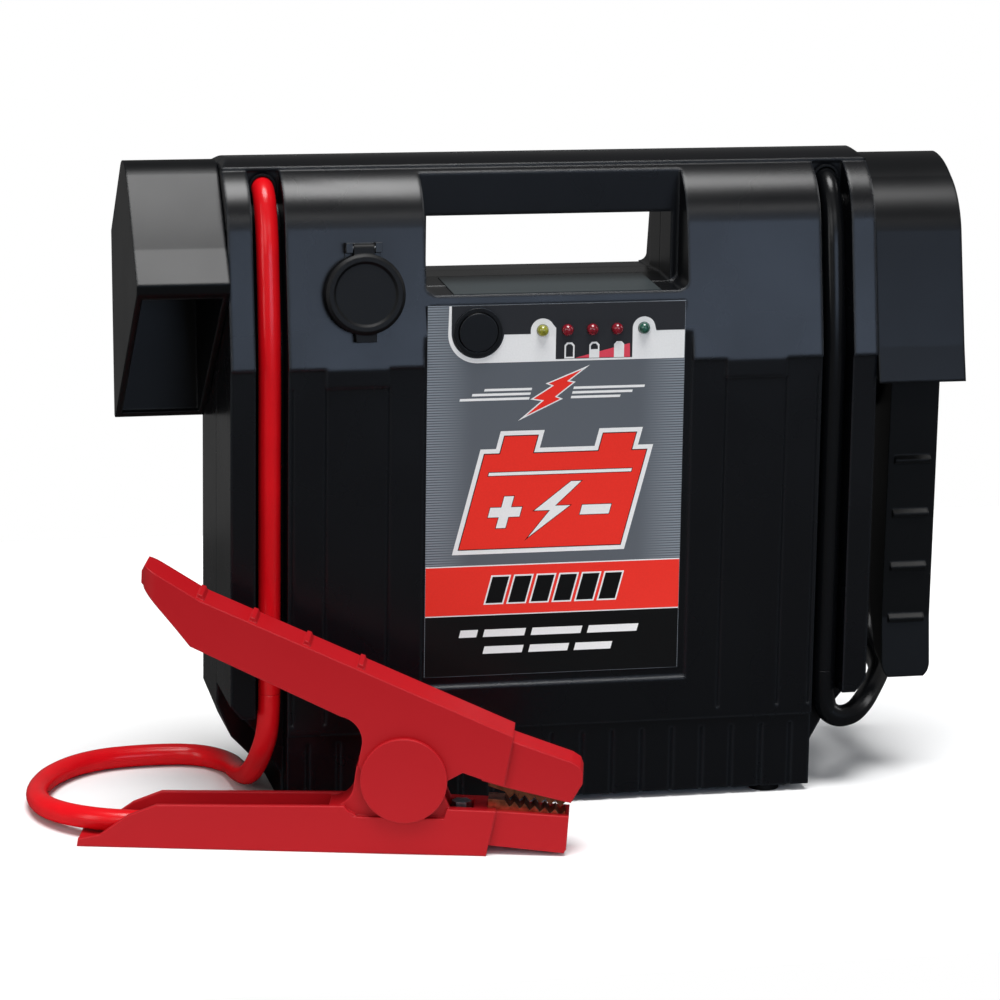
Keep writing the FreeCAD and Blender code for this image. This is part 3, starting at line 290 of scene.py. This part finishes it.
metal("copper_plate", "#e0906a", "#9a5438", 0.3, 4, 0.5)
metal("zinc_plate", "#c4c9cc", "#8e9498", 0.32, 3, 0.4)
metal("drawn_steel", "#a9abae", "#7d7f82", 0.34, 5, 0.3)
metal("nickel_plate", "#b4b3ac", "#8c8a82", 0.25, 6, 0.5)
metal("turned_brass", "#d8b468", "#a88544", 0.28, 4, 0.3)
metal("cast_lead", "#8b8e94", "#5f6267", 0.55, 2, 0.8)

# %% [markdown]
# ## Lamps and circuit board
# Each lamp is a tinted epoxy dome. Unlit, it looks dark with one bright spot, so it is a smooth
# coat over a deep colour. The epoxy is cloudy, so a soft noise mixes a paler tint into the deep
# one. The circuit board is green solder mask over copper lines a millimetre or so apart.

# %% Lamps and circuit board
def lamp(name, deep, pale):
    """Cloudy tinted epoxy: a deep colour with paler clouds, under a clear coat."""
    tree, place = begin(name)
    cloud = add(tree, "TexNoise", {"Scale": per_metre(1.6), "Detail": 1.0}, {"Vector": place})
    shade = add(tree, "Mix", {"data_type": "RGBA", 6: linear(deep), 7: linear(pale)},
                {0: cloud.outputs["Fac"]})
    close(tree, {"Roughness": 0.12, "Coat Weight": 0.6, "Coat Roughness": 0.05},
          {"Base Color": shade.outputs[2]})
    print("lamp epoxy:", name)


lamp("yellow_green_epoxy", "#3f3f0a", "#b5b53a")
lamp("dark_red_epoxy", "#2c040a", "#a11a2c")
lamp("dark_green_epoxy", "#04201a", "#2f6b58")

tree, place = begin("solder_mask")
squares = add(tree, "TexBrick", {
    "Scale": per_metre(6), "Mortar Size": 0.04, "Mortar": linear("#1c7a3e"), "Color1": linear("#0f4a26"),
    "Color2": linear("#13552c")}, {"Vector": place})
close(tree, {"Roughness": 0.3}, {"Base Color": squares.outputs["Color"]})

# %% [markdown]
# ## The printed label
# The label is a polyester sheet printed from behind. Its ground is a silver grey that is paler at
# both sides, where fine dark lines run across it, and the inks lie on it as flat areas. Here the
# ground is a material on the label's own solid, and each ink is a film a few hundredths of a
# millimetre thick, cut along outlines worked out below.

# %% Label ground
LABEL_LOW, LABEL_HIGH = (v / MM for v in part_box("face_label"))
LABEL_MIDDLE = (LABEL_LOW[0] + LABEL_HIGH[0]) / 2
LINE_PITCH_MM = 1.16
LINE_SHARE = 0.32
MARGIN_MM = 22
HALF_LABEL_MM = (LABEL_HIGH[0] - LABEL_LOW[0]) / 2

tree, place = begin("silver_printed_film")
across = add(tree, "SeparateXYZ", links={"Vector": place})
from_middle = add(tree, "Math", {"operation": "SUBTRACT", 1: LABEL_MIDDLE * MM}, {0: across.outputs["X"]})
aside = add(tree, "Math", {"operation": "ABSOLUTE"}, {0: from_middle.outputs[0]})
margin = add(tree, "MapRange", {
    "From Min": (HALF_LABEL_MM - MARGIN_MM) * MM, "From Max": HALF_LABEL_MM * MM,
    "interpolation_type": "SMOOTHSTEP"}, {"Value": aside.outputs[0]})
rows = add(tree, "Math", {"operation": "MULTIPLY", 1: per_metre(LINE_PITCH_MM)}, {0: across.outputs["Z"]})
in_row = add(tree, "Math", {"operation": "FRACT"}, {0: rows.outputs[0]})
thin = add(tree, "Math", {"operation": "LESS_THAN", 1: LINE_SHARE}, {0: in_row.outputs[0]})
line = add(tree, "Math", {"operation": "MULTIPLY"}, {0: thin.outputs[0], 1: margin.outputs["Result"]})
ground = add(tree, "Mix", {"data_type": "RGBA", 6: linear("#5d6268"), 7: linear("#868d94")},
             {0: margin.outputs["Result"]})
lined = add(tree, "Mix", {"data_type": "RGBA", 7: linear("#3c4146")},
            {0: line.outputs[0], 6: ground.outputs[2]})
close(tree, {"Roughness": 0.3, "Specular IOR Level": 0.35}, {"Base Color": lined.outputs[2]})
print("label ground is", round(2 * HALF_LABEL_MM, 1), "mm wide")


# %% Inks
def ink(name, colour):
    """One printed ink: a flat colour with the faint mottle of screen printing."""
    tree, place = begin(name)
    mottle = add(tree, "TexNoise", {"Scale": per_metre(0.8), "Detail": 2.0}, {"Vector": place})
    tone = add(tree, "MapRange", {"To Min": 0.94, "To Max": 1.06}, {"Value": mottle.outputs["Fac"]})
    shade = add(tree, "HueSaturation", {"Color": linear(colour)}, {"Value": tone.outputs["Result"]})
    close(tree, {"Roughness": 0.3, "Specular IOR Level": 0.3}, {"Base Color": shade.outputs["Color"]})


for name, colour in (("white_ink", "#eeeeec"), ("red_ink", "#ee3226"), ("black_ink", "#0c0c0c"),
                     ("charcoal_ink", "#2a2b2e"), ("pink_ink", "#e0485a"), ("grey_ink", "#3a4042")):
    ink(name, colour)
print(len(materials), "materials so far")

# %% [markdown]
# ## Cutting films
# A film is the area inside one outline and outside its holes, given as arrays of x and z in
# millimetres on the label's face. A flat Blender curve fills such an area with its holes, and its
# extrusion gives the thickness. The result is turned upright in its mesh, so the object stays at the
# origin. Arcs and rounded corners are arrays of points worked out from their angles.

# %% Cutting films
FILM_MM = 0.05
LABEL_FACE = LABEL_LOW[1]
print("films start at y =", round(LABEL_FACE, 2), "mm and are", FILM_MM, "mm thick")


def arc(x, z, radius, start, end, steps=24):
    """Points on a circle from one angle to another, in degrees: centre + radius*(cos a, sin a)."""
    a = np.radians(np.linspace(start, end, steps))
    return np.stack([x + radius * np.cos(a), z + radius * np.sin(a)], -1)


def ring(x, z, radius):
    """A closed circle of points."""
    return arc(x, z, radius, 0, 360, 49)[:-1]


def slanted(x0, x1, z0, z1, slope=0.0, about=None):
    """A four-cornered bar whose upright edges lean: x grows by slope times the height over about."""
    base = z0 if about is None else about
    corners = np.array([(x0, z0), (x1, z0), (x1, z1), (x0, z1)], float)
    corners[:, 0] += slope * (corners[:, 1] - base)
    return corners


def film(name, loops, layer, ink_name, grow=0.0):
    """A sheet on the label's face: loops fill it by turns, layer counts the films from the label
    up to this one, and grow widens the outline, in millimetres."""
    flat = bpy.data.curves.new(name, "CURVE")
    flat.dimensions = "2D"
    flat.fill_mode = "BOTH"
    flat.extrude = FILM_MM / 2 * MM
    flat.offset = grow * MM
    for loop in loops:
        spline = flat.splines.new("POLY")
        spline.points.add(len(loop) - 1)
        places = np.zeros((len(loop), 4))
        places[:, :2] = np.array(loop) * MM
        places[:, 3] = 1
        spline.points.foreach_set("co", places.ravel())
        spline.use_cyclic_u = True
    pattern = bpy.data.objects.new(name + "_pattern", flat)
    mesh = bpy.data.meshes.new_from_object(pattern)
    bpy.data.objects.remove(pattern)
    mesh.name = name
    points = np.zeros(len(mesh.vertices) * 3)
    mesh.vertices.foreach_get("co", points)
    points = points.reshape(-1, 3)
    front = LABEL_FACE * MM - (layer - 0.5) * FILM_MM * MM
    upright_points = np.stack([points[:, 0], front - points[:, 2], points[:, 1]], -1)
    mesh.vertices.foreach_set("co", upright_points.ravel())
    mesh.materials.clear()
    mesh.materials.append(materials[ink_name])
    mesh.update()
    item = bpy.data.objects.new(name, mesh)
    bpy.context.scene.collection.objects.link(item)
    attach(item, "pack")


# %% [markdown]
# ## The control strip
# The strip round the button and lamps is a dark field on a white one. The white shows as a
# border, and as two tabs that rise round the end lamps. The holes let the button's ring and
# the lamps through.

# %% The control strip
ring_low, ring_high = (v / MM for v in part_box("button_ring"))
BUTTON = ((ring_low[0] + ring_high[0]) / 2, (ring_low[2] + ring_high[2]) / 2)
RING_RADIUS = (ring_high[0] - ring_low[0]) / 2
LAMP_XS = (-7.8, 3.5, 14.8, 26.1, 38.4)
LAMP_HOLE = 2.75
STRIP_LOW, STRIP_HIGH = 204.4, LABEL_HIGH[2] - 0.25
LEFT_EDGE, RIGHT_EDGE = -50.0, LABEL_HIGH[0] - 0.25
ROUND = 12.3
EDGE = 1.1
holes = [ring(*BUTTON, RING_RADIUS + 0.1)] + [ring(x, BUTTON[1], LAMP_HOLE) for x in LAMP_XS]
white_field = np.concatenate([
    [(LEFT_EDGE, STRIP_HIGH)], arc(BUTTON[0], STRIP_LOW + ROUND + EDGE, ROUND + EDGE, 180, 270),
    [(RIGHT_EDGE, STRIP_LOW), (RIGHT_EDGE, STRIP_HIGH)]])
dark_field = np.concatenate([
    [(LEFT_EDGE + EDGE, STRIP_HIGH)], arc(BUTTON[0], BUTTON[1], ROUND - 0.4, 180, 353, 40),
    [(-13.2, 216.9)], arc(LAMP_XS[0], BUTTON[1], 5.4, 180, 30, 20), [(-1.7, 219.4), (-1.7, 205.3)],
    [(33.2, 205.3), (33.2, 218.4)], arc(LAMP_XS[4], BUTTON[1], 5.2, 180, 14, 20), [(44.0, 217.2)],
    [(RIGHT_EDGE, 217.2), (RIGHT_EDGE, STRIP_HIGH)]])
film("label_white_field", [white_field] + holes, 1, "white_ink")
film("label_dark_field", [dark_field] + holes, 2, "charcoal_ink")
film("label_level_wedge", [[(7.3, 205.7), (32.2, 205.5), (32.0, 211.7)]], 3, "pink_ink")


def cell_outline(x, z, width, height, nub):
    """A small battery seen from the front: a box with a narrower cap."""
    half, step = width / 2, height - nub
    return [(x - half, z), (x + half, z), (x + half, z + step), (x + half * 0.5, z + height),
            (x - half * 0.5, z + height), (x - half, z + step)]


for count, x in enumerate(LAMP_XS[1:4]):
    loops = [cell_outline(x + 1.0, 205.5, 4.6, 7.2, 1.3)]
    if count < 2:
        fill = 3.2 * count
        loops.append([(x - 0.6, 206.2 + fill), (x + 2.6, 206.2 + fill), (x + 2.6, 210.9), (x + 1.7, 211.9),
                      (x + 0.3, 211.9), (x - 0.6, 210.9)])
    film(f"label_level_{count + 1}", loops, 4, "white_ink")
print("control strip with", len(holes), "holes")

# %% [markdown]
# ## The bolt and its speed lines
# Under the strip the label carries a lightning bolt between two rows of speed lines. All the
# pictures on the label lean to the right like italic print. A picture's white rim is the same
# outline grown outwards and laid under it.

# %% The bolt and its speed lines
BOLT = [(10.4, 200.3), (-4.6, 194.4), (-2.2, 193.4), (-11.4, 187.7), (-6.6, 186.9), (-14.7, 180.2),
        (0.6, 187.3), (-1.8, 188.3), (6.4, 194.6), (3.6, 195.2)]
LEAN = 0.26
film("label_bolt_rim", [BOLT], 1, "white_ink", grow=0.55)
film("label_bolt", [BOLT], 2, "red_ink")
SPEED_LOW, SPEED_PITCH, SPEED_THICK, SPEED_STEP = 187.4, 2.1, 1.1, 5
for count in range(3):
    z, step = SPEED_LOW + SPEED_PITCH * count, SPEED_STEP * count
    for side, x0, x1 in (("left", -45 + step, -13.5), ("right", 5.5, 28 + step)):
        bar = slanted(x0, x1, z, z + SPEED_THICK, LEAN, SPEED_LOW)
        film(f"label_speed_{side}_{count}", [bar], 1, "white_ink")
print("bolt and six speed lines, leaning by", LEAN)

# %% [markdown]
# ## The car battery on the label
# The large picture is a car battery with its two posts, a plus, a minus and a spark. Its signs are
# holes in the red film, and white films a little smaller than the holes fill them, so that the two
# inks never share a surface.


# %% The car battery on the label
def leaning(points, base=118.0):
    """Leans an outline like italic print: x grows by LEAN times the height over base."""
    shape = np.array(points, float)
    shape[:, 0] += LEAN * (shape[:, 1] - base)
    return shape


BATTERY = leaning([(-45, 120), (29, 120), (29, 163), (22, 163), (22, 171), (7, 171), (7, 163), (-23, 163),
                   (-23, 171), (-38, 171), (-38, 163), (-45, 163)])
LID_GAP = leaning([(-41, 153), (25, 153), (25, 155), (-41, 155)])
PLUS = leaning([(-36, 134), (-31, 134), (-31, 129), (-26, 129), (-26, 134), (-21, 134), (-21, 139),
                (-26, 139), (-26, 144), (-31, 144), (-31, 139), (-36, 139)])
MINUS = leaning([(6, 134), (20, 134), (20, 139), (6, 139)])
SPARK = leaning([(-2, 150), (-16, 136.5), (-8.5, 136.5), (-16, 123), (1.5, 139), (-5.5, 139), (3.5, 150)])
film("label_battery_rim", [BATTERY], 1, "white_ink", grow=2.4)
film("label_battery_line", [BATTERY], 2, "black_ink", grow=0.4)
film("label_battery", [BATTERY, LID_GAP, PLUS, MINUS, SPARK], 3, "red_ink")
film("label_battery_signs", [LID_GAP, PLUS, MINUS, SPARK], 3, "white_ink", grow=-0.3)
print("car battery with", len(BATTERY), "corners")

# %% [markdown]
# ## The red band and the black foot
# Across the lower part runs a red band with a row of leaning blocks, between two white lines. Below
# it the label is black, with two broken white lines where a label has its small print.

# %% The red band and the black foot
BAND_LOW, BAND_HIGH = 89.8, 112.0
SIDE_LEFT, SIDE_RIGHT = LABEL_LOW[0] + 0.2, LABEL_HIGH[0] - 0.2
film("label_band_rim", [slanted(SIDE_LEFT, SIDE_RIGHT, BAND_LOW - 0.5, BAND_HIGH + 0.5)], 1, "white_ink")
film("label_band", [slanted(SIDE_LEFT, SIDE_RIGHT, BAND_LOW, BAND_HIGH)], 2, "red_ink")
film("label_foot", [slanted(SIDE_LEFT, SIDE_RIGHT, LABEL_LOW[2] + 0.2, BAND_LOW - 0.5)], 1, "black_ink")
BLOCK_START, BLOCK_PITCH, BLOCK_WIDE = -32, 10.4, 7.6
for count in range(6):
    x = BLOCK_START + BLOCK_PITCH * count
    block_outline = slanted(x, x + BLOCK_WIDE, 95, 107, LEAN)
    film(f"label_block_rim_{count}", [block_outline], 3, "white_ink", grow=0.7)
    film(f"label_block_{count}", [block_outline], 4, "black_ink")
DASH_THICK = 3.4
DASHES = [(79.4, ((-44, -36), (-33, -14), (-11, 12), (15, 38))), (71.6, ((-33, -15), (-12, 6), (9, 26)))]
for row, (z, spans) in enumerate(DASHES):
    for count, (x0, x1) in enumerate(spans):
        film(f"label_dash_{row}_{count}", [slanted(x0, x1, z, z + DASH_THICK, LEAN)], 2, "white_ink")
print("the band is", round(BAND_HIGH - BAND_LOW, 1), "mm high")

# %% [markdown]
# ## Every solid gets its substance
# A CAD solid keeps its shape and takes a material by name. The list goes by what the part is made
# of, so that identical substances look the same wherever they are.

# %% Materials on the solids
HANDLE_PARTS = ("upper_handle", "lower_handle", "pivot_caps")
SUBSTANCES = {
    "black_ABS_case": ["front_shell", "rear_shell"],
    "black_ABS_holster": ["left_holster", "right_holster"],
    "red_nylon_handle": [f"red_clamp_{part}" for part in HANDLE_PARTS],
    "black_nylon_handle": [f"black_clamp_{part}" for part in HANDLE_PARTS],
    "black_ABS_fitting": ["socket_flange", "button_ring", "push_switch", "charging_inlet"],
    "black_ABS_button": ["status_button"],
    "grey_ABS_battery": ["battery_case"],
    "black_ABS_battery_lid": ["battery_lid"],
    "soft_black_rubber": ["socket_cap", "feet", "red_cable_grommet", "black_cable_grommet"],
    "closed_cell_foam": ["battery_pads"],
    "red_PVC_jacket": ["red_channel_cable", "red_clamp_cable_end", "positive_inner_lead"],
    "black_PVC_jacket": ["black_channel_cable", "black_clamp_cable_end", "negative_inner_lead"],
    "copper_plate": [f"{c}_clamp_{j}_jaw" for c in ("red", "black") for j in ("upper", "lower")]
                    + ["positive_lug", "negative_lug"],
    "zinc_plate": ["red_clamp_cable_bolt", "black_clamp_cable_bolt", "case_screws", "holster_screws"],
    "drawn_steel": [f"{c}_clamp_{part}" for c in ("red", "black") for part in ("spring", "pivot_pin")]
                   + ["cap_hinge_pin"],
    "nickel_plate": ["socket_barrel"],
    "turned_brass": ["socket_contact"],
    "cast_lead": ["positive_terminal", "negative_terminal"],
    "yellow_green_epoxy": ["charging_light"],
    "dark_red_epoxy": ["power_level_lights"],
    "dark_green_epoxy": ["charge_complete_light"],
    "solder_mask": ["circuit_board"],
    "silver_printed_film": ["face_label"],
    "grey_ink": ["warning_label"],
}
dressed = set()
for substance, names in SUBSTANCES.items():
    for name in names:
        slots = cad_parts[name].data.materials
        slots.clear()
        slots.append(materials[substance])
        dressed.add(name)
for colour, item in cables.items():
    item.data.materials.append(materials[f"{colour}_PVC_jacket"])
print("solids without a substance:", sorted(set(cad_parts) - dressed))

# %% [markdown]
# ## Floor
# The floor is a small pale sheet, so bright under the overhead lamp that it fades into the white
# background. In the reflections on the black plastic a white floor would turn the lower panels
# grey, so there it is a dark grey.


# %% Floor
def flat_sheet(name, x0, x1, y0, y1):
    """A level rectangle just under the feet, between two corners in metres."""
    mesh = bpy.data.meshes.new(name)
    x, y = np.array([x0, x1, x1, x0]), np.array([y0, y0, y1, y1])
    mesh.from_pydata(np.stack([x, y, np.full(4, -0.0002)], -1).tolist(), [], [(0, 1, 2, 3)])
    item = bpy.data.objects.new(name, mesh)
    bpy.context.scene.collection.objects.link(item)
    return item


floor = flat_sheet("floor", -0.75, 0.7, -0.27, 0.5)
tree, place = begin("pale_floor")
mirrored = add(tree, "LightPath").outputs["Is Glossy Ray"]
shade = add(tree, "Mix", {"data_type": "RGBA", 6: linear("#f4f4f4"), 7: linear("#3a3a3a")}, {0: mirrored})
close(tree, {"Roughness": 0.9, "Specular IOR Level": 0.1}, {"Base Color": shade.outputs[2]})
floor.data.materials.append(materials["pale_floor"])
print("floor", [round(v, 2) for v in floor.dimensions[:2]], "m")

# %% [markdown]
# ## Light
# A black object is drawn by what it mirrors, so the lamps are soft panels, placed where each face
# of the case mirrors one of them: two in front for the faces that lean back, a third higher on the
# left, and a tall one at each side for the corners. A wide overhead sun lights the floor and the
# tops; its highlights are turned down. The room is white only to the camera, and dim in
# reflections and as light, which keeps the black plastic black.


# %% Light
def softbox(name, place, target, width, height, power, tint="#ffffff"):
    """A rectangular area lamp at place, facing target, in metres and watts, with its colour."""
    data = bpy.data.lights.new(name, "AREA")
    data.shape = "RECTANGLE"
    data.size, data.size_y = width, height
    data.energy = power
    data.color = linear(tint)[:3]
    item = bpy.data.objects.new(name, data)
    way = Vector(place) - Vector(target)
    item.matrix_world = Matrix.Translation(place) @ way.to_track_quat("Z", "Y").to_matrix().to_4x4()
    bpy.context.scene.collection.objects.link(item)


softbox("panel_low_front", (0.50, -1.86, 0.52), (0, 0, 0.23), 1.1, 0.42, 5.2, "#c8deff")
softbox("panel_high_front", (0.40, -1.7, 1.25), (0, 0, 0.2), 1.1, 0.35, 2.5)
softbox("panel_key", (-1.0, -1.7, 1.1), (0, 0, 0.1), 0.8, 0.8, 5)
softbox("panel_left", (-1.7, -0.9, 0.7), (-0.1, 0, 0.15), 0.4, 1.2, 5)
softbox("panel_right", (1.7, 0.1, 0.8), (0.1, 0, 0.15), 0.5, 1.2, 6)
overhead = bpy.data.lights.new("overhead", "SUN")
overhead.energy = 3.6
overhead.angle = math.radians(35)
overhead.specular_factor = 0.3
overhead_item = bpy.data.objects.new("overhead", overhead)
overhead_item.matrix_world = Matrix.Rotation(math.radians(12), 4, "X")
bpy.context.scene.collection.objects.link(overhead_item)

# %% The room
ROOM_DIM, ROOM_SEEN = 0.12, 1.0
world = bpy.data.worlds.new("studio")
world.use_nodes = True
bpy.context.scene.world = world
sky = world.node_tree.nodes["Background"]
sky.inputs["Color"].default_value = linear("#ffffff")
seen = world.node_tree.nodes.new("ShaderNodeLightPath").outputs["Is Camera Ray"]
strength = world.node_tree.nodes.new("ShaderNodeMapRange")
strength.inputs["To Min"].default_value, strength.inputs["To Max"].default_value = ROOM_DIM, ROOM_SEEN
world.node_tree.links.new(seen, strength.inputs["Value"])
world.node_tree.links.new(strength.outputs["Result"], sky.inputs["Strength"])
print("the room is", ROOM_DIM, "as bright to the object as to the camera")
